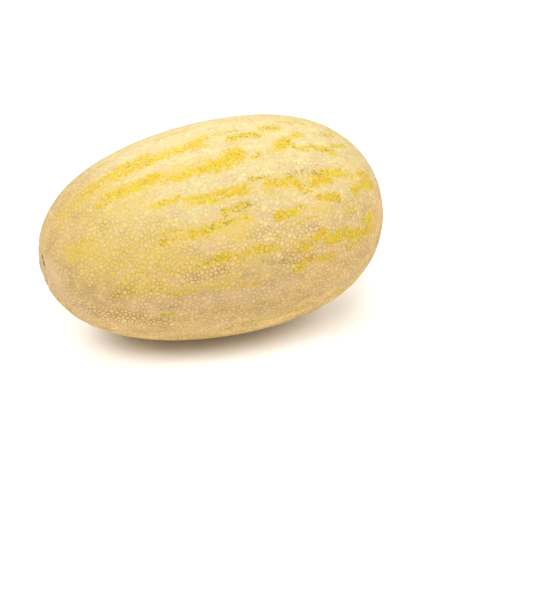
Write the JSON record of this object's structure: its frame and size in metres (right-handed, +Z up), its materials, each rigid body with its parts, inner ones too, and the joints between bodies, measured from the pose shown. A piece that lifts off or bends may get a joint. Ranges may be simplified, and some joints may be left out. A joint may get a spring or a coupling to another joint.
{
  "type": "netted melon",
  "caption": "Whole oblong melon lying on its side, with a raised corky net over a cream-yellow rind, a round scar at each end and a small flat spot to rest on.",
  "frame": {"origin": "the middle of the melon's box at its base, on the surface that it rests on", "axes": "+Z up; +X along the melon, from the narrower stem end to the fuller blossom end; +Y across it, away from the side that the picture shows"},
  "size_m": [0.3118, 0.1938, 0.1919],
  "materials": {
    "rind": "matt fruit rind with a raised corky net"
  },
  "bodies": {
    "root": {"melon": "rind"}
  },
  "joints": []
}
